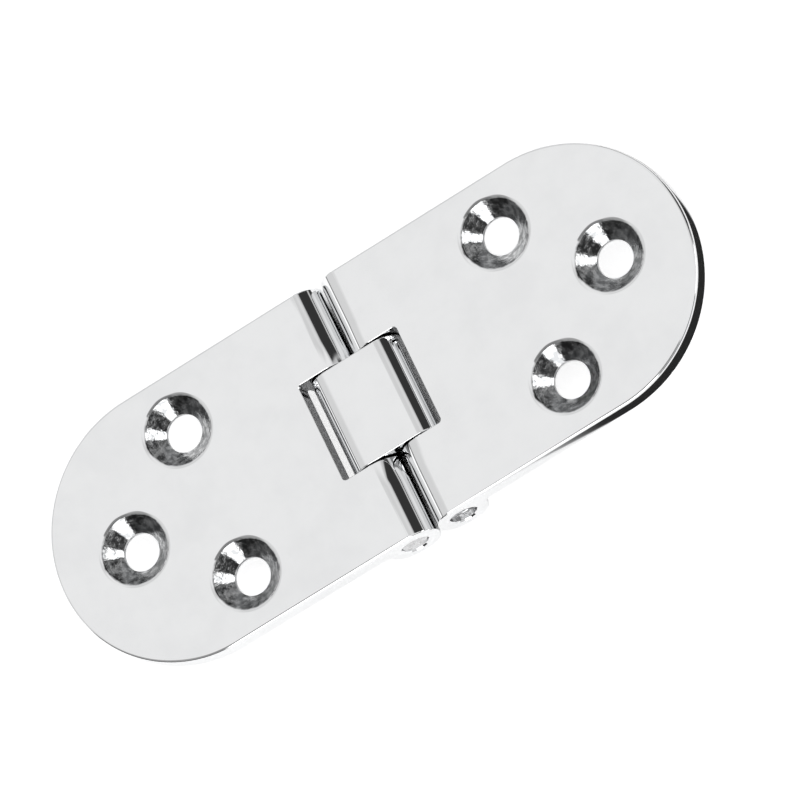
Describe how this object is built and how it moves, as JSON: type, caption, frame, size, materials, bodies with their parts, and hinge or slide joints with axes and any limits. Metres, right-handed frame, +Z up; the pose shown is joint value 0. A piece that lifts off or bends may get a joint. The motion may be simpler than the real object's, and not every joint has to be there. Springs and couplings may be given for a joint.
{
  "type": "drop leaf table hinge",
  "caption": "Flush folding table hinge: two round-ended chromed leaves with countersunk screw holes, joined by a square link on pins so that the tops fold face to face.",
  "frame": {"origin": "under the middle of the link, level with the bottom of the knuckles", "axes": "+X along the open hinge towards the right leaf, +Y along the pins, +Z up, out of the polished top"},
  "size_m": [0.08, 0.0306, 0.006],
  "materials": {
    "leaf_chrome": "bright chrome plating",
    "link_chrome": "bright chrome plating",
    "pin_steel": "turned and plated steel"
  },
  "bodies": {
    "left_side": {"left_leaf": "leaf_chrome", "left_pin": "pin_steel"},
    "middle": {"link": "link_chrome"},
    "right_side": {"right_leaf": "leaf_chrome", "right_pin": "pin_steel"}
  },
  "joints": [
    {"name": "left_fold", "type": "hinge", "parent": "left_side", "child": "middle", "pos_m": [-0.0031, 0, 0.003], "axis": [0, -1, 0], "range_deg": [0, 90]},
    {"name": "right_fold", "type": "hinge", "parent": "middle", "child": "right_side", "pos_m": [0.0031, 0, 0.003], "axis": [0, -1, 0], "range_deg": [0, 90]}
  ]
}
